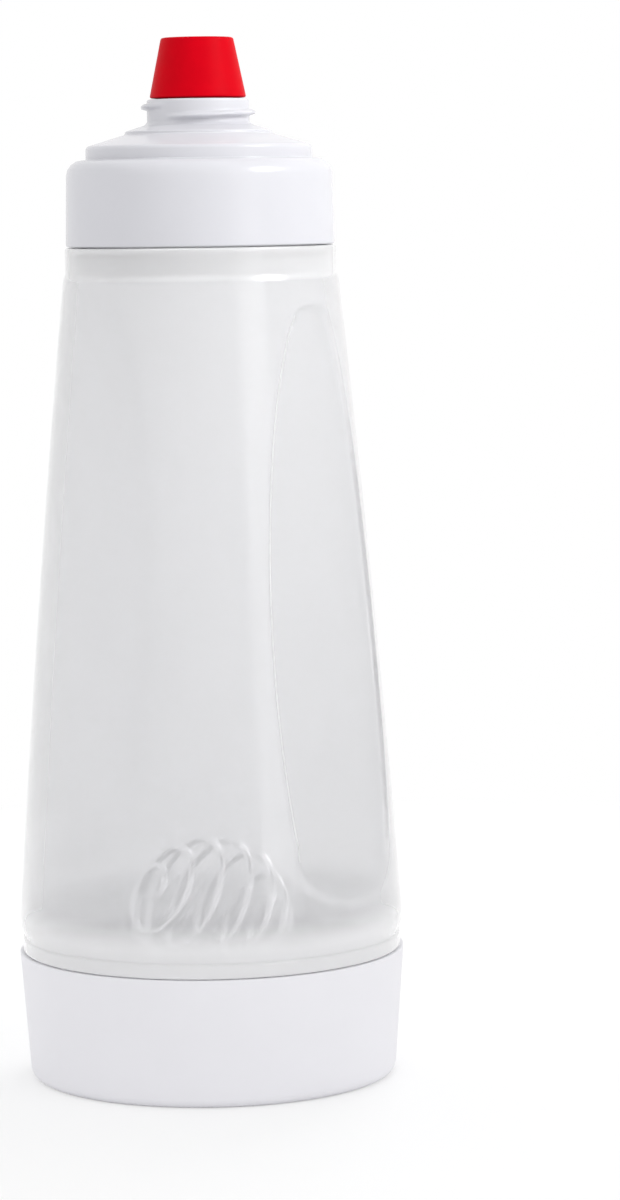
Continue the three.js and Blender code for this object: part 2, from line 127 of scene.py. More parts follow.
# Heights over which the bottle's finish changes
END_FADE = 2.5 * MM
LAND_FADE = 11 * MM
FROSTING_FADE = 14 * MM

# Grip scoops
GRIP_TOP_DROP = 17.5 * MM
GRIP_BOTTOM_RISE = 32.2 * MM
GRIP_TOP = RING_TOP - GRIP_TOP_DROP
GRIP_BOTTOM = BASE_HIGH.z + GRIP_BOTTOM_RISE
GRIP_TOP_ROUNDING = 5 * MM
GRIP_BOTTOM_ROUNDING = 20 * MM
GRIP_LEAST_FACING = 0.6
GRIP_STEP_RUN = 0.6 * MM
GRIP_END_FADE = 12 * MM
GRIP_END_SOFTNESS = 1.6 * MM

# Base cup
BASE_TAPER = 2.6 * MM
FOOT_ROUNDING = 2.5 * MM
FOOT_RING_WIDTH = 2.2 * MM
FLOOR_HEIGHT = 20 * MM
FLOOR_THICKNESS = 2.4 * MM
SKIRT_WALL = 2.6 * MM

# Collar and spout
COLLAR_WALL = 2.25 * MM
COLLAR_TAPER = 0.5 * MM
COLLAR_DROP = 1.45 * MM
COLLAR_EDGE = 4.2 * MM
COLLAR_BAND_HEIGHT = 17.4 * MM
CEILING_DROP = 1.0 * MM
SHELF_WIDTH = 1.05 * MM
DISC_HEIGHT = 3.5 * MM
DISC_EDGE = 0.9 * MM
DOME_STEP = 1.8 * MM
SHOULDER_RISE = 5.5 * MM
SHOULDER_STEP_RADIUS = 19.7 * MM
SHOULDER_STEP_HEIGHT = 0.8 * MM
SHOULDER_WALL = 2.2 * MM
SPOUT_HEIGHT = 6.9 * MM
SPOUT_RADIUS = 13.7 * MM
SPOUT_WALL = 2.2 * MM
SPOUT_FOOT_FLARE = 0.8 * MM

# Screw threads
THREAD_PITCH = 5 * MM
THREAD_HEIGHT = 1.5 * MM
THREAD_ROOT = 2.4 * MM
THREAD_CREST = 1.2 * MM
THREAD_CLEARANCE = 0.6 * MM
COLLAR_THREAD_MARGIN = 2.7 * MM
BASE_THREAD_MARGIN = 1.6 * MM
SPOUT_THREAD_PITCH = 3.2 * MM
SPOUT_THREAD_HEIGHT = 1.6 * MM
SPOUT_THREAD_ROOT = 1.9 * MM
SPOUT_THREAD_CREST = 0.8 * MM
SPOUT_THREAD_MARGIN = 0.6 * MM
SPOUT_THREAD_START = math.radians(265)
THREAD_RUN_OUT = math.radians(40)
BASE_BORE = LOWER_NECK_RADIUS + THREAD_HEIGHT + THREAD_CLEARANCE
COLLAR_BORE = UPPER_NECK_RADIUS + THREAD_HEIGHT + THREAD_CLEARANCE

# Nozzle
NOZZLE_TIP_RADIUS = 9.65 * MM
NOZZLE_WALL = 2.2 * MM
NOZZLE_TIP_THICKNESS = 3 * MM
NOZZLE_RIM_INSET = 0.75 * MM
TAIL_CLEARANCE = 0.3 * MM
POUR_HOLE_RADIUS = 3.5 * MM

# Fineness of the meshes
COLUMNS = 240
ROW = 3.2 * MM
RIM_REACH = 1.6 * MM
RIM_CUTS = 3
THREAD_ROW = 0.4 * MM
ROUND_STEPS = 4
WIRE_STEPS_PER_TURN = 64
WIRE_ROUNDNESS = 5
WIRE_END_STEPS = 3
WIRE_SIDE_CORNERS = 4

# How near a point counts as on a wall, as outside in shares of the wall, and as the same point
WALL_TOLERANCE = 0.05 * MM
OUTSIDE_SHARE = 0.7
MERGE_DISTANCE = 1e-6

# Range of the random spots
SPOTS_LOW = 0.2
SPOTS_HIGH = 0.8

# Whisk ball: rounding of the wire's ends as a share of its diameter
WIRE_END_ROUNDING = 0.2

# Stage: the floor glows white from GLOW_END outwards, and less towards the object
STAGE_RADIUS = 4.0
STAGE_SIDES = 96
STAGE_COLOUR = (0.93, 0.93, 0.935, 1)
STAGE_ROUGHNESS = 0.9
GLOW_START = 0.08
GLOW_END = 0.5
GLOW_LEAST = 0.45
WHITE = (1, 1, 1, 1)

# Camera: width of the sensor in millimetres, as Blender takes it
SENSOR_WIDTH = 36


class Corner(NamedTuple):
    """A corner of a turned outline, with the radius of its rounding."""

    radius: float
    height: float
    rounding: float = 0.0


class Thread(NamedTuple):
    """A right-handed screw thread on a round wall; a negative lift points inwards."""

    wall: float
    lift: float
    turns: float
    start: float
    start_angle: float = 0.0
    pitch: float = THREAD_PITCH
    root: float = THREAD_ROOT
    crest: float = THREAD_CREST


class Lamp(NamedTuple):
    """A soft lamp, placed from the foot as the camera sees it, that points at a height on the axis."""

    name: str
    right: float
    towards: float
    up: float
    aim: float
    width: float
    height: float
    power: float
    spread: float = math.pi
    mirrored: bool = True


LAMPS = (
    Lamp(
        name="key lamp",
        right=0.33,
        towards=0.16,
        up=0.46,
        aim=0.25,
        width=0.2,
        height=0.2,
        power=0.066,
        spread=math.radians(30),
    ),
    Lamp(
        name="edge lamp",
        right=0.84,
        towards=0.93,
        up=0.35,
        aim=CAD_BOX[1].z / 2,
        width=0.5,
        height=0.9,
        power=1.3,
    ),
    Lamp(
        name="back lamp",
        right=0.2,
        towards=-0.5,
        up=0.5,
        aim=0.05,
        width=0.3,
        height=0.3,
        power=1.0,
        mirrored=False,
    ),
)


def length(name, description, millimetres):
    """A length that a user may change."""
    return FloatProperty(
        name=name,
        description=description,
        default=millimetres * MM,
        precision=5,
        subtype="DISTANCE",
        unit="LENGTH",
    )


def angle(name, description, degrees):
    """An angle that a user may change."""
    return FloatProperty(
        name=name,
        description=description,
        default=math.radians(degrees),
        subtype="ANGLE",
        unit="ROTATION",
    )


def share(name, description, default):
    """A share from 0 to 1 that a user may change."""
    return FloatProperty(
        name=name, description=description, default=default, min=0.0, max=1.0, subtype="FACTOR"
    )


def colour(name, description, default):
    """A colour that a user may change."""
    return FloatVectorProperty(
        name=name, description=description, default=default, size=3, min=0.0, max=1.0, subtype="COLOR"
    )


class BottleSettings(bpy.types.PropertyGroup):
    """Sizes and finish of the bottle"""

    wall: length("Wall", "Thickness of the bottle's wall", 1.7)
    belly: length("Belly", "How far the body swells past a straight taper at half height", 0.65)
    grip_top_depth: length("Grip depth, top", "Depth of a grip scoop at its upper end", 0.7)
    grip_middle_depth: length("Grip depth, middle", "Depth of a grip scoop at its middle", 5.3)
    grip_bottom_depth: length("Grip depth, bottom", "Depth of a grip scoop at its lower end", 4.0)
    grip_softness: length("Grip softness", "How softly a grip scoop's rim runs into the body", 0.35)
    grip_step: length("Grip step", "Height of the small step inside a grip scoop's rim", 0.6)
    tint: colour("Tint", "Colour of the frosted plastic", (0.985, 0.985, 0.998))
    clearness: share("Clearness", "Share of the light that passes clearly through the body's wall", 0.69)
    land_clearness: share("Land clearness", "The same share at the bottle's thick lower edge", 0.34)
    ring_clearness: share("Ring clearness", "The same share at the ring under the collar", 0.5)
    frosting: share("Frosting", "Roughness of the frosted wall", 0.21)
    low_frosting: share("Low frosting", "Roughness of the wall round the resting whisk ball", 0.07)
    gloss: share("Gloss", "Strength of the wall's thin outer gloss", 1.0)


class BaseSettings(bpy.types.PropertyGroup):
    """Finish of the base cup"""

    tint: colour("Tint", "Colour of the milky plastic", (0.87, 0.865, 0.9))
    clearness: share("Clearness", "Share of the light that passes through the milky plastic", 0.1)


class CollarSettings(bpy.types.PropertyGroup):
    """Finish of the collar"""

    tint: colour("Tint", "Colour of the white plastic", (0.61, 0.61, 0.645))


class SealSettings(bpy.types.PropertyGroup):
    """Size and finish of the sealing rings"""

    overlap: length("Overlap", "How far a ring reaches inside its neck", 1.2)
    tint: colour("Tint", "Colour of the translucent silicone", (0.8, 0.81, 0.81))


class NozzleSettings(bpy.types.PropertyGroup):
    """Finish of the nozzle"""

    tint: colour("Tint", "Colour of the red silicone", (0.58, 0.0, 0.007))


class WhiskSettings(bpy.types.PropertyGroup):
    """Sizes and finish of the whisk ball"""

    wire: length("Wire", "Diameter of the wire", 2.3)
    turns: IntProperty(name="Turns", description="Number of turns of the wire", default=7, min=2)
    pole_angle: angle("Pole angle", "Angle from the winding axis at which the wire ends", 14)
    azimuth: angle("Azimuth", "Direction of the winding axis round the bottle", 250)
    elevation: angle("Elevation", "Tilt of the winding axis above the level", 24)
    tint: colour("Tint", "Colour of the steel", (0.98, 0.98, 0.985))


class StageSettings(bpy.types.PropertyGroup):
    """The camera, the light and the floor"""

    azimuth: angle("Camera azimuth", "Direction of the camera round the object", 40)
    distance: length("Camera distance", "Level distance of the camera from the axis", 1108.5)
    height: length("Camera height", "Height of the camera above the floor", 238.2)
    aim_height: length("Aim height", "Height of the point that the camera looks at", 128.63)
    aim_right: length("Aim right", "Distance of that point to the right of the axis", 28.06)
    roll: angle("Roll", "Turn of the camera about its own axis", -0.824)
    lens: FloatProperty(
        name="Lens", description="Focal length", default=123.465, subtype="DISTANCE_CAMERA"
    )
    ambient: share("Ambient", "Strength of the even light from all round", 1.0)


class DispenserSettings(bpy.types.PropertyGroup):
    """All settings of the dispenser"""

    bottle: PointerProperty(type=BottleSettings)
    base: PointerProperty(type=BaseSettings)
    collar: PointerProperty(type=CollarSettings)
    seals: PointerProperty(type=SealSettings)
    nozzle: PointerProperty(type=NozzleSettings)
    whisk: PointerProperty(type=WhiskSettings)
    stage: PointerProperty(type=StageSettings)


# Turned shapes


def round_off(bm, geometry, radius, steps, affect):
    """Rounds corners or edges."""
    bmesh.ops.bevel(
        bm,
        geom=geometry,
        offset=radius,
        offset_type="OFFSET",
        segments=steps,
        profile=0.5,
        affect=affect,
        material=-1,
    )


def draw_outline(bm, corners):
    """Draws an outline in the XZ plane, closed unless it ends on the axis, and rounds its corners."""
    verts = [bm.verts.new((corner.radius, 0, corner.height)) for corner in corners]
    for start, end in zip(verts, verts[1:] + verts[:1]):
        if start.co.x or end.co.x:
            bm.edges.new((start, end))
    for corner, vert in zip(corners, verts):
        if corner.rounding:
            round_off(bm, [vert], corner.rounding, ROUND_STEPS, "VERTICES")


def split_outline(bm, threads=()):
    """Splits long edges of an outline into rows, finely where a thread runs."""
    for edge in list(bm.edges):
        middle = (edge.verts[0].co + edge.verts[1].co) / 2
        upright = abs(edge.verts[0].co.x - edge.verts[1].co.x) < WALL_TOLERANCE
        threaded = upright and any(abs(middle.x - thread.wall) < WALL_TOLERANCE for thread in threads)
        cuts = math.ceil(edge.calc_length() / (THREAD_ROW if threaded else ROW)) - 1
        if cuts > 0:
            bmesh.ops.subdivide_edges(bm, edges=[edge], cuts=cuts)


def spin_quarter(bm):
    """Turns the outline about the bottle's axis into a quarter of a skin."""
    bmesh.ops.spin(
        bm,
        geom=bm.verts[:] + bm.edges[:],
        cent=(0, 0, 0),
        axis=UP,
        dvec=(0, 0, 0),
        angle=math.tau / 4,
        steps=COLUMNS // 4,
    )


def close_quarter(bm):
    """Mirrors a quarter twice into a closed skin."""
    for axis in "XY":
        geometry = bm.verts[:] + bm.edges[:] + bm.faces[:]
        bmesh.ops.mirror(
            bm, geom=geometry, matrix=Matrix.Identity(4), merge_dist=MERGE_DISTANCE, axis=axis
        )
    bmesh.ops.remove_doubles(bm, verts=bm.verts, dist=MERGE_DISTANCE)
    bmesh.ops.recalc_face_normals(bm, faces=bm.faces)


def turned(corners, threads=()):
    """A closed turned shape with its threads."""
    bm = bmesh.new()
    draw_outline(bm, corners)
    split_outline(bm, threads)
    spin_quarter(bm)
    close_quarter(bm)
    for thread in threads:
        raise_thread(bm, thread)
    return bm


def held(value):
    """A value held between 0 and 1."""
    return min(1.0, max(0.0, value))


def eased(value):
    """A value from 0 to 1 with a soft start and a soft end."""
    return value * value * (3 - 2 * value)


def thread_share(thread, turn, height):
    """How far a point of the wall stands on the thread: 0 off it, 1 on its crest."""
    best = 0.0
    for whole in range(math.ceil(thread.turns) + 1):
        along = turn + whole
        if along > thread.turns:
            break
        off_middle = abs(height - thread.start - thread.pitch * along)
        flank = (thread.root / 2 - off_middle) / ((thread.root - thread.crest) / 2)
        from_end = min(along, thread.turns - along) * math.tau / THREAD_RUN_OUT
        best = max(best, held(flank) * held(from_end))
    return eased(best)


def raise_thread(bm, thread):
    """Lifts the wall along a helix into a thread's ridge."""
    lowest = thread.start - thread.root / 2
    highest = thread.start + thread.pitch * thread.turns + thread.root / 2
    for vert in bm.verts:
        radius = math.hypot(vert.co.x, vert.co.y)
        if abs(radius - thread.wall) > WALL_TOLERANCE or not lowest < vert.co.z < highest:
            continue
        turn = (math.atan2(vert.co.y, vert.co.x) - thread.start_angle) % math.tau / math.tau
        lift = 1 + thread.lift * thread_share(thread, turn, vert.co.z) / radius
        vert.co.x *= lift
        vert.co.y *= lift


def thread_zone(bottom, top, margin):
    """Turns and the two start heights of a neck's and its cap's thread, half a pitch apart."""
    room = top - bottom - 2 * margin - THREAD_ROOT - THREAD_PITCH / 2
    low = bottom + margin + THREAD_ROOT / 2
    return room / THREAD_PITCH, low, low + THREAD_PITCH / 2


def smooth_least(one, other, softness):
    """The lesser of two values, with a soft change from one to the other."""
    near = max(softness - abs(one - other), 0.0) / softness
    return min(one, other) - near * near * softness / 4


# Finishing a piece


def finish_piece(bm, name, node, material):
    """Turns a shape into the piece that stands for a node."""
    mesh = bpy.data.meshes.new(name)
    bm.to_mesh(mesh)
    bm.free()
    finish_mesh(mesh, name, node, material)


def finish_mesh(mesh, name, node, material):
    """Sets a mesh and its finish in the scene in place of a node, on the node's body."""
    mesh.shade_smooth()
    mesh.materials.append(material)
    piece = bpy.data.objects.new(name, mesh)
    bpy.context.scene.collection.objects.link(piece)
    piece.modifiers.new("Even shading", "WEIGHTED_NORMAL")
    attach(piece, NODE_BODY[node])
    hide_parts(node)


# Finishes


def start_finish(name):
    """A new material, its node tree and its shader."""
    material = bpy.data.materials.new(name)
    material.use_nodes = True
    tree = material.node_tree
    return material, tree, tree.nodes["Principled BSDF"]


def spots(tree, size, detail, stretch=(1, 1, 1)):
    """Soft random spots of a size in metres; stretch draws them out along an axis."""
    place = tree.nodes.new("ShaderNodeTexCoord")
    mapping = tree.nodes.new("ShaderNodeMapping")
    mapping.inputs["Scale"].default_value = [1 / (size * factor) for factor in stretch]
    noise = tree.nodes.new("ShaderNodeTexNoise")
    noise.inputs["Scale"].default_value = 1.0
    noise.inputs["Detail"].default_value = detail
    tree.links.new(place.outputs["Object"], mapping.inputs["Vector"])
    tree.links.new(mapping.outputs["Vector"], noise.inputs["Vector"])
    return noise.outputs["Fac"]


def between(tree, factor, low, high):
    """A value that follows spots from low to high."""
    ranged = tree.nodes.new("ShaderNodeMapRange")
    ranged.interpolation_type = "SMOOTHSTEP"
    ranged.inputs["From Min"].default_value = SPOTS_LOW
    ranged.inputs["From Max"].default_value = SPOTS_HIGH
    ranged.inputs["To Min"].default_value = low
    ranged.inputs["To Max"].default_value = high
    tree.links.new(factor, ranged.inputs["Value"])
    return ranged.outputs["Result"]


def tinted(tree, factor, tint, shade):
    """A colour that follows spots from a darker shade of the tint to the tint itself."""
    ramp = tree.nodes.new("ShaderNodeValToRGB")
    ramp.color_ramp.interpolation = "EASE"
    low, high = ramp.color_ramp.elements
    low.position = SPOTS_LOW
    high.position = SPOTS_HIGH
    low.color = (*[channel * shade for channel in tint], 1)
    high.color = (*tint, 1)
    tree.links.new(factor, ramp.inputs["Fac"])
    return ramp.outputs["Color"]


def grained(tree, shader, height, depth, strength):
    """Gives the surface a grain of a depth in metres."""
    bump = tree.nodes.new("ShaderNodeBump")
    bump.inputs["Distance"].default_value = depth
    bump.inputs["Strength"].default_value = strength
    tree.links.new(height, bump.inputs["Height"])
    tree.links.new(bump.outputs["Normal"], shader.inputs["Normal"])


def frosted_plastic(settings):
    """Frosted blown plastic: a fine etched grain and a wall of slightly uneven clearness."""
    material, tree, shader = start_finish("frosted plastic")
    clouds = spots(tree, size=22 * MM, detail=3.0, stretch=(1, 1, 2.5))
    grain = spots(tree, size=0.9 * MM, detail=2.0)
    tree.links.new(tinted(tree, clouds, settings.tint, shade=0.985), shader.inputs["Base Color"])
    tree.links.new(frosting_along(tree, settings), shader.inputs["Roughness"])
    # The socket's own value is set to the body's clearness as well as linked. The
    # export also looks at the linked socket's own value
    shader.inputs["Transmission Weight"].default_value = settings.clearness
    tree.links.new(clearness_along(tree, settings), shader.inputs["Transmission Weight"])
    shader.inputs["IOR"].default_value = 1.38
    shader.inputs["Coat Weight"].default_value = settings.gloss
    shader.inputs["Coat Roughness"].default_value = 0.15
    grained(tree, shader, grain, depth=0.015 * MM, strength=0.4)
    return material


def height_of(tree):
    """Height above the foot."""
    place = tree.nodes.new("ShaderNodeTexCoord")
    parts = tree.nodes.new("ShaderNodeSeparateXYZ")
    tree.links.new(place.outputs["Object"], parts.inputs["Vector"])
    return parts.outputs["Z"]


def frosting_along(tree, settings):
    """Roughness along the bottle: finer frosting round the resting whisk ball."""
    rough = tree.nodes.new("ShaderNodeMapRange")
    rough.interpolation_type = "SMOOTHSTEP"
    rough.inputs["From Min"].default_value = WHISK_HIGH.z
    rough.inputs["From Max"].default_value = WHISK_HIGH.z + FROSTING_FADE
    rough.inputs["To Min"].default_value = settings.low_frosting
    rough.inputs["To Max"].default_value = settings.frosting
    tree.links.new(height_of(tree), rough.inputs["Value"])
    return rough.outputs["Result"]


def clearness_along(tree, settings):
    """How clear the wall is along the bottle: hazy at its lower edge, at the ring and at the necks."""
    along = tree.nodes.new("ShaderNodeMapRange")
    along.inputs["From Min"].default_value = BOTTLE_LOW.z
    along.inputs["From Max"].default_value = BOTTLE_HIGH.z
    ramp = tree.nodes.new("ShaderNodeValToRGB")
    ramp.color_ramp.interpolation = "EASE"
    stops = (
        (LAND_TOP + END_FADE, settings.land_clearness),
        (LAND_TOP + LAND_FADE, settings.clearness),
        (BODY_TOP, settings.clearness),
        (BODY_TOP + END_FADE / 2, settings.ring_clearness),
    )
    while len(ramp.color_ramp.elements) < len(stops):
        ramp.color_ramp.elements.new(1.0)
    for element, (height, clear) in zip(ramp.color_ramp.elements, stops):
        element.position = (height - BOTTLE_LOW.z) / (BOTTLE_HIGH.z - BOTTLE_LOW.z)
        element.color = (clear, clear, clear, 1)
    tree.links.new(height_of(tree), along.inputs["Value"])
    tree.links.new(along.outputs["Result"], ramp.inputs["Fac"])
    return ramp.outputs["Color"]


def milky_plastic(settings):
    """Milky moulded plastic with a satin skin."""
    material, tree, shader = start_finish("milky plastic")
    clouds = spots(tree, size=14 * MM, detail=3.0)
    grain = spots(tree, size=0.7 * MM, detail=2.0)
    tree.links.new(tinted(tree, clouds, settings.tint, shade=0.985), shader.inputs["Base Color"])
    tree.links.new(between(tree, clouds, low=0.38, high=0.46), shader.inputs["Roughness"])
    shader.inputs["Transmission Weight"].default_value = settings.clearness
    shader.inputs["IOR"].default_value = 1.46
    grained(tree, shader, grain, depth=0.02 * MM, strength=0.3)
    return material


def white_plastic(settings):
    """Glossy white moulded plastic with faint handling marks."""
    material, tree, shader = start_finish("white plastic")
    clouds = spots(tree, size=12 * MM, detail=2.0)
    grain = spots(tree, size=0.8 * MM, detail=2.0)
    tree.links.new(tinted(tree, clouds, settings.tint, shade=0.985), shader.inputs["Base Color"])
    tree.links.new(between(tree, clouds, low=0.2, high=0.26), shader.inputs["Roughness"])
    shader.inputs["IOR"].default_value = 1.5
    grained(tree, shader, grain, depth=0.01 * MM, strength=0.2)
    return material


def red_silicone(settings):
    """Red silicone with a satin skin."""
    material, tree, shader = start_finish("red silicone")
    clouds = spots(tree, size=5 * MM, detail=3.0)
    grain = spots(tree, size=0.5 * MM, detail=2.0)
    tree.links.new(tinted(tree, clouds, settings.tint, shade=0.93), shader.inputs["Base Color"])
    tree.links.new(between(tree, clouds, low=0.4, high=0.5), shader.inputs["Roughness"])
    shader.inputs["IOR"].default_value = 1.42
    shader.inputs["Specular IOR Level"].default_value = 0.04
    grained(tree, shader, grain, depth=0.03 * MM, strength=0.4)
    return material


def clear_silicone(settings):
    """Translucent silicone of the sealing rings."""
    material, tree, shader = start_finish("clear silicone")
    clouds = spots(tree, size=4 * MM, detail=3.0)
    grain = spots(tree, size=0.6 * MM, detail=2.0)
    tree.links.new(tinted(tree, clouds, settings.tint, shade=0.96), shader.inputs["Base Color"])
    tree.links.new(between(tree, clouds, low=0.45, high=0.6), shader.inputs["Roughness"])
    shader.inputs["Transmission Weight"].default_value = 0.3
    shader.inputs["IOR"].default_value = 1.41
    grained(tree, shader, grain, depth=0.03 * MM, strength=0.4)
    return material


def steel_wire(settings):
    """Polished stainless wire with faint drawing marks."""
    material, tree, shader = start_finish("steel wire")
    marks = spots(tree, size=1.2 * MM, detail=4.0)
    tree.links.new(tinted(tree, marks, settings.tint, shade=0.9), shader.inputs["Base Color"])
    tree.links.new(between(tree, marks, low=0.14, high=0.22), shader.inputs["Roughness"])
    shader.inputs["Metallic"].default_value = 1.0
    grained(tree, shader, marks, depth=0.01 * MM, strength=0.3)
    return material


# Bottle


def body_radius(height, belly):
    """Radius of the round body: a straight taper with a slight belly."""
    rise = (height - BODY_BOTTOM) / (BODY_TOP - BODY_BOTTOM)
    return BODY_RADIUS + (BODY_TOP_RADIUS - BODY_RADIUS) * rise + 4 * belly * rise * (1 - rise)


def lower_edge_radius(height):
    """Radius of the rolled edge between the body and the groove above the land."""
    drop = (BODY_BOTTOM - height) / LOWER_EDGE_HEIGHT
    return GROOVE_RADIUS + (BODY_RADIUS - GROOVE_RADIUS) * math.sqrt(max(0.0, 1 - drop * drop))


def swell_body(bm, settings):
    """Moves the straight sides of the bottle's outline onto its bellied body and rolled edge."""
    for vert in bm.verts:
        height = vert.co.z
        if LAND_TOP < height < BODY_BOTTOM and vert.co.x > GROOVE_RADIUS - WALL_TOLERANCE:
            vert.co.x = lower_edge_radius(height)
        elif BODY_BOTTOM <= height < BODY_TOP - EDGE:
            outer = body_radius(height, settings.belly)
            outside = vert.co.x > outer - OUTSIDE_SHARE * settings.wall
            vert.co.x = outer if outside else outer - settings.wall


def grip_floor(height, settings):
    """Distance of a scoop's floor from the axis: one parabola through its depths at three heights."""
    middle_height = (GRIP_TOP + GRIP_BOTTOM) / 2
    low = body_radius(GRIP_BOTTOM, settings.belly) - settings.grip_bottom_depth
    middle = body_radius(middle_height, settings.belly) - settings.grip_middle_depth
    high = body_radius(GRIP_TOP, settings.belly) - settings.grip_top_depth
    rise = (height - middle_height) / ((GRIP_TOP - GRIP_BOTTOM) / 2)
    return middle + (high - low) / 2 * rise + ((high + low) / 2 - middle) * rise * rise


def grip_distance(height, inset, settings):
    """Distance of a scoop from the axis, with its rounded ends; none above and below them."""
    if GRIP_BOTTOM <= height <= GRIP_TOP:
        return grip_floor(height, settings) - inset
    end = GRIP_BOTTOM if height < GRIP_BOTTOM else GRIP_TOP
    rounding = GRIP_BOTTOM_ROUNDING if height < GRIP_BOTTOM else GRIP_TOP_ROUNDING
    reach = rounding + inset
    off_end = abs(height - end)
    if off_end >= reach:
        return math.inf
    return grip_floor(end, settings) + rounding - math.sqrt(reach * reach - off_end * off_end)


def rim_depth(point, settings):
    """How deep a point of the body's outside lies over a scoop's floor; negative outside the scoop."""
    outer = body_radius(point.z, settings.belly)
    radius = math.hypot(point.x, point.y)
    outside = BODY_BOTTOM < point.z < BODY_TOP and radius >= outer - settings.wall / 2
    if not outside or point.x / radius < GRIP_LEAST_FACING:
        return -math.inf
    return outer - grip_distance(point.z, 0, settings) * radius / point.x


def refine_rims(bm, settings):
    """Splits the outside finely along a scoop's rim and over its rounded ends."""
    edges = set()
    for face in bm.faces:
        depths = [rim_depth(vert.co, settings) for vert in face.verts]
        at_end = not GRIP_BOTTOM < face.calc_center_median().z < GRIP_TOP
        if max(depths) > -RIM_REACH and (at_end or min(depths) < RIM_REACH):
            edges.update(face.edges)
    bmesh.ops.subdivide_edges(bm, edges=list(edges), cuts=RIM_CUTS, use_grid_fill=True)


def pressed_radius(radius, facing, height, outside, settings):
    """Distance from the axis of a point of the body's wall after a scoop is pressed into it."""
    inset = 0 if outside else settings.wall + settings.grip_step
    floor = grip_distance(height, inset, settings) / facing
    if not math.isfinite(floor):
        return radius
    crisp = held(1 + (height - GRIP_BOTTOM) / GRIP_END_FADE) if outside else 0.0
    softness = GRIP_END_SOFTNESS + (settings.grip_softness - GRIP_END_SOFTNESS) * crisp
    step = crisp * settings.grip_step * eased(held((radius - floor) / GRIP_STEP_RUN))
    return smooth_least(radius, floor, softness) - step


def press_grips(bm, settings):
    """Presses a scoop into the outside and the inside of a quarter of the body."""
    for vert in bm.verts:
        radius = math.hypot(vert.co.x, vert.co.y)
        facing = vert.co.x / radius
        if not BODY_BOTTOM < vert.co.z < BODY_TOP - EDGE or facing < GRIP_LEAST_FACING:
            continue
        outer = body_radius(vert.co.z, settings.belly)
        outside = radius > outer - settings.wall / 2
        full = outer if outside else outer - settings.wall
        pressed = pressed_radius(full, facing, vert.co.z, outside, settings) / radius
        vert.co.x *= pressed
        vert.co.y *= pressed


def bottle_threads():
    """The threads of the bottle's two necks."""
    turns, low, _ = thread_zone(BOTTLE_LOW.z, LAND_BOTTOM, BASE_THREAD_MARGIN)
    lower = Thread(LOWER_NECK_RADIUS, THREAD_HEIGHT, turns, low)
    turns, _, high = thread_zone(RING_TOP, BOTTLE_HIGH.z, COLLAR_THREAD_MARGIN)
    return lower, Thread(UPPER_NECK_RADIUS, THREAD_HEIGHT, turns, high)


def bottle_outline(wall):
    """Half section of the bottle, up its outside and down its inside."""
    return [
        Corner(LOWER_NECK_RADIUS, BOTTLE_LOW.z, EDGE),
        Corner(LOWER_NECK_RADIUS, LAND_BOTTOM, EDGE),
        Corner(LAND_RADIUS, LAND_BOTTOM, SMALL_EDGE),
        Corner(LAND_RADIUS, LAND_TOP - EDGE, SMALL_EDGE),
        Corner(GROOVE_RADIUS, LAND_TOP),
        Corner(BODY_RADIUS, BODY_BOTTOM),
        Corner(BODY_TOP_RADIUS, BODY_TOP, EDGE),
        Corner(RING_RADIUS, RING_BOTTOM, EDGE),
        Corner(RING_RADIUS, RING_TOP, EDGE),
        Corner(UPPER_NECK_RADIUS, RING_TOP, EDGE),
        Corner(UPPER_NECK_RADIUS, BOTTLE_HIGH.z, EDGE),
        Corner(UPPER_NECK_BORE, BOTTLE_HIGH.z, EDGE),
        Corner(UPPER_NECK_BORE, RING_TOP - wall, EDGE),
        Corner(RING_RADIUS - wall, RING_BOTTOM, EDGE),
        Corner(BODY_TOP_RADIUS - wall, BODY_TOP),
        Corner(BODY_RADIUS - wall, BODY_BOTTOM),
        Corner(GROOVE_RADIUS - wall, LAND_TOP + wall, EDGE),
        Corner(LOWER_NECK_BORE, LAND_BOTTOM + EDGE, EDGE),
        Corner(LOWER_NECK_BORE, BOTTLE_LOW.z, EDGE),
    ]


class DISPENSER_OT_bottle(bpy.types.Operator):
    """Model the frosted bottle with its two necks and its two grip scoops"""

    bl_idname = "dispenser.bottle"
    bl_label = "Bottle"

    def execute(self, context):
        settings = context.scene.dispenser.bottle
        threads = bottle_threads()
        bm = bmesh.new()
        draw_outline(bm, bottle_outline(settings.wall))
        split_outline(bm, threads)
        swell_body(bm, settings)
        spin_quarter(bm)
        refine_rims(bm, settings)
        press_grips(bm, settings)
        close_quarter(bm)
        for thread in threads:
            raise_thread(bm, thread)
        finish_piece(bm, "bottle_shell", "bottle", frosted_plastic(settings))
        return {"FINISHED"}


# Base cup


def base_radius(height):
    """Radius of the base cup's outside, which narrows from the rim to the foot."""
    return BASE_HIGH.y - BASE_TAPER * (1 - height / BASE_HIGH.z)


def base_outline():
    """Half section of the base cup: under the floor, round the foot, up the outside and down the bore."""
    underside = FLOOR_HEIGHT - FLOOR_THICKNESS
    foot_flat = base_radius(FOOT_ROUNDING) - FOOT_ROUNDING
    return [
        Corner(0, underside),
        Corner(base_radius(underside) - SKIRT_WALL, underside, FOOT_ROUNDING),
        Corner(foot_flat - FOOT_RING_WIDTH, BASE_LOW.z, EDGE),
        Corner(base_radius(0), BASE_LOW.z, FOOT_ROUNDING),
        Corner(BASE_HIGH.y, BASE_HIGH.z, SMALL_EDGE),
        Corner(BASE_BORE, BASE_HIGH.z, EDGE),
        Corner(BASE_BORE, FLOOR_HEIGHT, EDGE),
        Corner(0, FLOOR_HEIGHT),
    ]


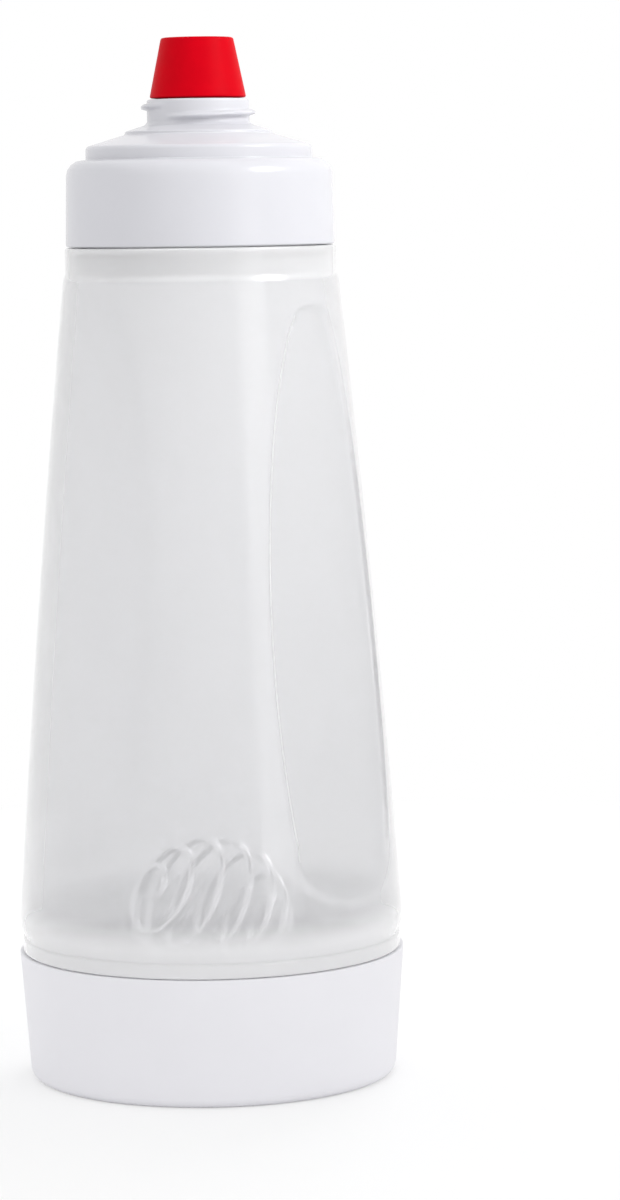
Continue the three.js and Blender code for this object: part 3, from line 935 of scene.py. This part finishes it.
class DISPENSER_OT_base_cup(bpy.types.Operator):
    """Model the milky base cup with its raised floor and its inside thread"""

    bl_idname = "dispenser.base_cup"
    bl_label = "Base cup"

    def execute(self, context):
        turns, _, high = thread_zone(BOTTLE_LOW.z, LAND_BOTTOM, BASE_THREAD_MARGIN)
        bm = turned(base_outline(), [Thread(BASE_BORE, -THREAD_HEIGHT, turns, high)])
        finish_piece(bm, "base_cup_shell", "base_cup", milky_plastic(context.scene.dispenser.base))
        return {"FINISHED"}


# Collar and spout


def collar_outline():
    """Half section of the collar: up the band, over the steps and the spout, and down the inside."""
    lower_radius = COLLAR_BORE + COLLAR_WALL
    upper_radius = lower_radius - COLLAR_TAPER
    band_top = COLLAR_LOW.z + COLLAR_BAND_HEIGHT
    shelf = band_top + COLLAR_EDGE
    disc_radius = upper_radius - COLLAR_EDGE - SHELF_WIDTH
    disc_top = shelf + DISC_HEIGHT
    spout_foot = COLLAR_HIGH.z - SPOUT_HEIGHT
    flare = SPOUT_RADIUS + SPOUT_FOOT_FLARE
    step_share = (disc_radius - SHOULDER_STEP_RADIUS) / (disc_radius - flare)
    step_foot = disc_top + step_share * (SHOULDER_RISE - SHOULDER_STEP_HEIGHT)
    dome = UPPER_NECK_BORE - DOME_STEP
    spout_bore = SPOUT_RADIUS - SPOUT_WALL
    ceiling = band_top - CEILING_DROP
    return [
        Corner(COLLAR_BORE, COLLAR_LOW.z - COLLAR_DROP, EDGE),
        Corner(lower_radius, COLLAR_LOW.z - COLLAR_DROP, EDGE),
        Corner(upper_radius, shelf, COLLAR_EDGE),
        Corner(disc_radius, shelf, SMALL_EDGE),
        Corner(disc_radius, disc_top, DISC_EDGE),
        Corner(SHOULDER_STEP_RADIUS, step_foot, SMALL_EDGE),
        Corner(SHOULDER_STEP_RADIUS, step_foot + SHOULDER_STEP_HEIGHT, SMALL_EDGE),
        Corner(flare, spout_foot, SMALL_EDGE),
        Corner(SPOUT_RADIUS, spout_foot + SPOUT_FOOT_FLARE, SMALL_EDGE),
        Corner(SPOUT_RADIUS, COLLAR_HIGH.z, EDGE),
        Corner(spout_bore, COLLAR_HIGH.z, EDGE),
        Corner(spout_bore, spout_foot - SHOULDER_WALL, EDGE),
        Corner(dome, disc_top - SHOULDER_WALL, EDGE),
        Corner(dome, ceiling, EDGE),
        Corner(COLLAR_BORE, ceiling, EDGE),
    ]


def collar_threads():
    """The collar's inside thread and the spout's outside thread."""
    turns, low, _ = thread_zone(RING_TOP, BOTTLE_HIGH.z, COLLAR_THREAD_MARGIN)
    half_root = SPOUT_THREAD_ROOT / 2
    foot = COLLAR_HIGH.z - SPOUT_HEIGHT + SPOUT_FOOT_FLARE + SPOUT_THREAD_MARGIN / 2 + half_root
    head = COLLAR_HIGH.z - SPOUT_THREAD_MARGIN - half_root
    spout = Thread(
        wall=SPOUT_RADIUS,
        lift=SPOUT_THREAD_HEIGHT,
        turns=(head - foot) / SPOUT_THREAD_PITCH,
        start=foot,
        start_angle=SPOUT_THREAD_START,
        pitch=SPOUT_THREAD_PITCH,
        root=SPOUT_THREAD_ROOT,
        crest=SPOUT_THREAD_CREST,
    )
    return [Thread(COLLAR_BORE, -THREAD_HEIGHT, turns, low), spout]


class DISPENSER_OT_collar(bpy.types.Operator):
    """Model the glossy collar with its stepped top and its threaded spout"""

    bl_idname = "dispenser.collar"
    bl_label = "Collar"

    def execute(self, context):
        bm = turned(collar_outline(), collar_threads())
        finish_piece(bm, "collar_cap", "collar", white_plastic(context.scene.dispenser.collar))
        return {"FINISHED"}


# Sealing rings


def seal_outline(low, high, inner):
    """Half section of a sealing ring that fills its node's box down to an inner radius."""
    return [
        Corner(inner, low.z, SMALL_EDGE),
        Corner(high.y, low.z, SMALL_EDGE),
        Corner(high.y, high.z, SMALL_EDGE),
        Corner(inner, high.z, SMALL_EDGE),
    ]


class DISPENSER_OT_seals(bpy.types.Operator):
    """Model the two silicone sealing rings"""

    bl_idname = "dispenser.seals"
    bl_label = "Sealing rings"

    def execute(self, context):
        settings = context.scene.dispenser.seals
        material = clear_silicone(settings)
        lower_inner = LOWER_NECK_BORE - settings.overlap
        upper_inner = UPPER_NECK_BORE - settings.overlap
        lower = turned(seal_outline(BASE_SEAL_LOW, BASE_SEAL_HIGH, lower_inner))
        upper = turned(seal_outline(COLLAR_SEAL_LOW, COLLAR_SEAL_HIGH, upper_inner))
        finish_piece(lower, "base_seal_ring", "base_gasket", material)
        finish_piece(upper, "collar_seal_ring", "collar_gasket", material)
        return {"FINISHED"}


# Nozzle


def nozzle_outline():
    """Half section of the nozzle: up the tail and the cone, over the tip and down the inside."""
    tail = SPOUT_RADIUS - SPOUT_WALL - TAIL_CLEARANCE
    foot = COLLAR_HIGH.z + TAIL_CLEARANCE
    foot_radius = SPOUT_RADIUS - NOZZLE_RIM_INSET
    narrowing = (foot_radius - NOZZLE_TIP_RADIUS) / (NOZZLE_HIGH.z - foot)
    ceiling = NOZZLE_HIGH.z - NOZZLE_TIP_THICKNESS
    ceiling_radius = foot_radius - narrowing * (ceiling - foot) - NOZZLE_WALL
    return [
        Corner(tail - NOZZLE_WALL, NOZZLE_LOW.z, EDGE),
        Corner(tail, NOZZLE_LOW.z, EDGE),
        Corner(tail, foot, SMALL_EDGE),
        Corner(foot_radius, foot, EDGE),
        Corner(NOZZLE_TIP_RADIUS, NOZZLE_HIGH.z, EDGE),
        Corner(POUR_HOLE_RADIUS, NOZZLE_HIGH.z, EDGE),
        Corner(POUR_HOLE_RADIUS, ceiling, EDGE),
        Corner(ceiling_radius, ceiling, EDGE),
        Corner(tail - NOZZLE_WALL, foot, EDGE),
    ]


class DISPENSER_OT_nozzle(bpy.types.Operator):
    """Model the red pouring nozzle with its plug tail"""

    bl_idname = "dispenser.nozzle"
    bl_label = "Nozzle"

    def execute(self, context):
        material = red_silicone(context.scene.dispenser.nozzle)
        finish_piece(turned(nozzle_outline()), "pour_nozzle", "nozzle", material)
        return {"FINISHED"}


# Whisk ball


def wire_line(settings):
    """Middle line of the wire: from pole to pole at an even rate while it goes round, leaning over."""
    reach = (WHISK_HIGH.z - WHISK_LOW.z) / 2 - settings.wire / 2
    level = math.cos(settings.elevation)
    axis = Vector((
        level * math.cos(settings.azimuth),
        level * math.sin(settings.azimuth),
        math.sin(settings.elevation),
    ))
    lean = Vector((0, 1, 0)).rotation_difference(axis)
    steps = settings.turns * WIRE_STEPS_PER_TURN
    line = []
    for step in range(steps + 1):
        polar = settings.pole_angle + (math.pi - 2 * settings.pole_angle) * step / steps
        round_axis = math.tau * settings.turns * step / steps
        across = math.sin(polar)
        point = Vector((across * math.sin(round_axis), math.cos(polar), across * math.cos(round_axis)))
        line.append(lean @ point * reach)
    lift = WHISK_LOW.z + settings.wire / 2 - min(point.z for point in line)
    return [point + UP * lift for point in line]


def wire_mesh(line, diameter):
    """A round wire along a line, with flat ends."""
    curve = bpy.data.curves.new("wire line", "CURVE")
    curve.dimensions = "3D"
    curve.bevel_depth = diameter / 2
    curve.bevel_resolution = WIRE_ROUNDNESS
    curve.use_fill_caps = True
    spline = curve.splines.new("POLY")
    spline.points.add(len(line) - 1)
    for place, point in zip(spline.points, line):
        place.co = (*point, 1)
    carrier = bpy.data.objects.new("wire line", curve)
    bpy.context.scene.collection.objects.link(carrier)
    graph = bpy.context.evaluated_depsgraph_get()
    mesh = bpy.data.meshes.new_from_object(carrier.evaluated_get(graph))
    bpy.data.objects.remove(carrier)
    bpy.data.curves.remove(curve)
    return mesh


def round_wire_ends(mesh, rounding):
    """Rounds the rims of the wire's two flat ends, which have more corners than its sides."""
    bm = bmesh.new()
    bm.from_mesh(mesh)
    bmesh.ops.remove_doubles(bm, verts=bm.verts, dist=MERGE_DISTANCE)
    ends = [face for face in bm.faces if len(face.verts) > WIRE_SIDE_CORNERS]
    rims = {edge for face in ends for edge in face.edges}
    round_off(bm, list(rims), rounding, WIRE_END_STEPS, "EDGES")
    bmesh.ops.recalc_face_normals(bm, faces=bm.faces)
    bm.to_mesh(mesh)
    bm.free()


class DISPENSER_OT_whisk_ball(bpy.types.Operator):
    """Wind the whisk ball from one steel wire"""

    bl_idname = "dispenser.whisk_ball"
    bl_label = "Whisk ball"

    def execute(self, context):
        settings = context.scene.dispenser.whisk
        mesh = wire_mesh(wire_line(settings), settings.wire)
        round_wire_ends(mesh, settings.wire * WIRE_END_ROUNDING)
        mesh.name = "whisk_wire"
        finish_mesh(mesh, "whisk_wire", "whisk_ball", steel_wire(settings))
        return {"FINISHED"}


# Stage


def view_rays(tree):
    """1 for the rays that show the background: from the camera, off gloss and through clear plastic."""
    path = tree.nodes.new("ShaderNodeLightPath")
    total = path.outputs["Is Camera Ray"]
    for kind in ("Is Glossy Ray", "Is Transmission Ray"):
        add = tree.nodes.new("ShaderNodeMath")
        add.operation = "ADD"
        add.use_clamp = True
        tree.links.new(total, add.inputs[0])
        tree.links.new(path.outputs[kind], add.inputs[1])
        total = add.outputs["Value"]
    return total


def light_world(ambient):
    """An even pale light from all round in front of a white background."""
    world = bpy.data.worlds.new("studio")
    world.use_nodes = True
    tree = world.node_tree
    background = tree.nodes["Background"]
    background.inputs["Color"].default_value = WHITE
    strength = tree.nodes.new("ShaderNodeMapRange")
    strength.inputs["To Min"].default_value = ambient
    strength.inputs["To Max"].default_value = 1.0
    tree.links.new(view_rays(tree), strength.inputs["Value"])
    tree.links.new(strength.outputs["Result"], background.inputs["Strength"])
    bpy.context.scene.world = world


def floor_finish():
    """Pale floor that fades into the white background away from the object."""
    material, tree, shader = start_finish("pale floor")
    shader.inputs["Base Color"].default_value = STAGE_COLOUR
    shader.inputs["Roughness"].default_value = STAGE_ROUGHNESS
    shader.inputs["Specular IOR Level"].default_value = 0.0
    glow = tree.nodes.new("ShaderNodeEmission")
    place = tree.nodes.new("ShaderNodeTexCoord")
    reach = tree.nodes.new("ShaderNodeVectorMath")
    reach.operation = "LENGTH"
    fade = tree.nodes.new("ShaderNodeMapRange")
    fade.inputs["From Min"].default_value = GLOW_START
    fade.inputs["From Max"].default_value = GLOW_END
    fade.inputs["To Min"].default_value = GLOW_LEAST
    fade.inputs["To Max"].default_value = 1.0
    shown = tree.nodes.new("ShaderNodeMath")
    shown.operation = "MULTIPLY"
    mix = tree.nodes.new("ShaderNodeMixShader")
    tree.links.new(place.outputs["Object"], reach.inputs[0])
    tree.links.new(reach.outputs["Value"], fade.inputs["Value"])
    tree.links.new(fade.outputs["Result"], shown.inputs[0])
    tree.links.new(view_rays(tree), shown.inputs[1])
    tree.links.new(shown.outputs["Value"], mix.inputs["Fac"])
    tree.links.new(shader.outputs["BSDF"], mix.inputs[1])
    tree.links.new(glow.outputs["Emission"], mix.inputs[2])
    tree.links.new(mix.outputs["Shader"], tree.nodes["Material Output"].inputs["Surface"])
    return material


def lay_floor():
    """A wide round floor under the foot."""
    bm = bmesh.new()
    bmesh.ops.create_circle(bm, cap_ends=True, segments=STAGE_SIDES, radius=STAGE_RADIUS)
    mesh = bpy.data.meshes.new("floor")
    bm.to_mesh(mesh)
    bm.free()
    mesh.materials.append(floor_finish())
    floor = bpy.data.objects.new("floor", mesh)
    bpy.context.scene.collection.objects.link(floor)


def hang_lamp(lamp, right, towards):
    """Hangs a lamp in its place; glossy surfaces mirror it unless it says otherwise."""
    light = bpy.data.lights.new(lamp.name, "AREA")
    light.shape = "RECTANGLE"
    light.size = lamp.width
    light.size_y = lamp.height
    light.energy = lamp.power
    light.spread = lamp.spread
    place = right * lamp.right + towards * lamp.towards + UP * lamp.up
    holder = bpy.data.objects.new(lamp.name, light)
    holder.location = place
    holder.rotation_euler = (UP * lamp.aim - place).to_track_quat("-Z", "Y").to_euler()
    holder.visible_glossy = lamp.mirrored
    bpy.context.scene.collection.objects.link(holder)


def set_camera(settings):
    """The camera at the photograph's viewing angle; gives the ways to its right and towards it."""
    towards = Vector((math.sin(settings.azimuth), -math.cos(settings.azimuth), 0))
    right = UP.cross(towards)
    place = towards * settings.distance + UP * settings.height
    aim = right * settings.aim_right + UP * settings.aim_height
    forward = (aim - place).normalized()
    level = forward.cross(UP).normalized()
    upright = level.cross(forward)
    across = level * math.cos(settings.roll) + upright * math.sin(settings.roll)
    upward = upright * math.cos(settings.roll) - level * math.sin(settings.roll)
    camera = bpy.data.cameras.new("camera")
    camera.lens = settings.lens
    camera.sensor_width = SENSOR_WIDTH
    holder = bpy.data.objects.new("camera", camera)
    turn = Matrix((across, upward, -forward)).transposed().to_4x4()
    holder.matrix_world = Matrix.Translation(place) @ turn
    bpy.context.scene.collection.objects.link(holder)
    bpy.context.scene.camera = holder
    return right, towards


class DISPENSER_OT_stage(bpy.types.Operator):
    """Set up the camera, the soft studio light and the pale floor"""

    bl_idname = "dispenser.stage"
    bl_label = "Stage"

    def execute(self, context):
        settings = context.scene.dispenser.stage
        context.scene.view_settings.view_transform = "Standard"
        right, towards = set_camera(settings)
        light_world(settings.ambient)
        lay_floor()
        for lamp in LAMPS:
            hang_lamp(lamp, right, towards)
        return {"FINISHED"}


class DISPENSER_PT_sidebar(bpy.types.Panel):
    """Lists the steps that build the dispenser"""

    bl_idname = "DISPENSER_PT_sidebar"
    bl_label = "Batter Dispenser"
    bl_space_type = "VIEW_3D"
    bl_region_type = "UI"
    bl_category = "Dispenser"

    def draw(self, context):
        column = self.layout.column(align=True)
        for operator in OPERATORS:
            column.operator(operator.bl_idname)


SETTINGS = (
    BottleSettings,
    BaseSettings,
    CollarSettings,
    SealSettings,
    NozzleSettings,
    WhiskSettings,
    StageSettings,
    DispenserSettings,
)
OPERATORS = (
    DISPENSER_OT_stage,
    DISPENSER_OT_bottle,
    DISPENSER_OT_base_cup,
    DISPENSER_OT_collar,
    DISPENSER_OT_seals,
    DISPENSER_OT_nozzle,
    DISPENSER_OT_whisk_ball,
)
CLASSES = (*SETTINGS, *OPERATORS, DISPENSER_PT_sidebar)


def register():
    for cls in CLASSES:
        bpy.utils.register_class(cls)
    bpy.types.Scene.dispenser = PointerProperty(type=DispenserSettings)


def unregister():
    del bpy.types.Scene.dispenser
    for cls in reversed(CLASSES):
        bpy.utils.unregister_class(cls)


def main():
    """Builds the dispenser and its stage."""
    register()
    bpy.ops.dispenser.stage()
    bpy.ops.dispenser.bottle()
    bpy.ops.dispenser.base_cup()
    bpy.ops.dispenser.collar()
    bpy.ops.dispenser.seals()
    bpy.ops.dispenser.nozzle()
    bpy.ops.dispenser.whisk_ball()


if __name__ == "__main__":
    main()
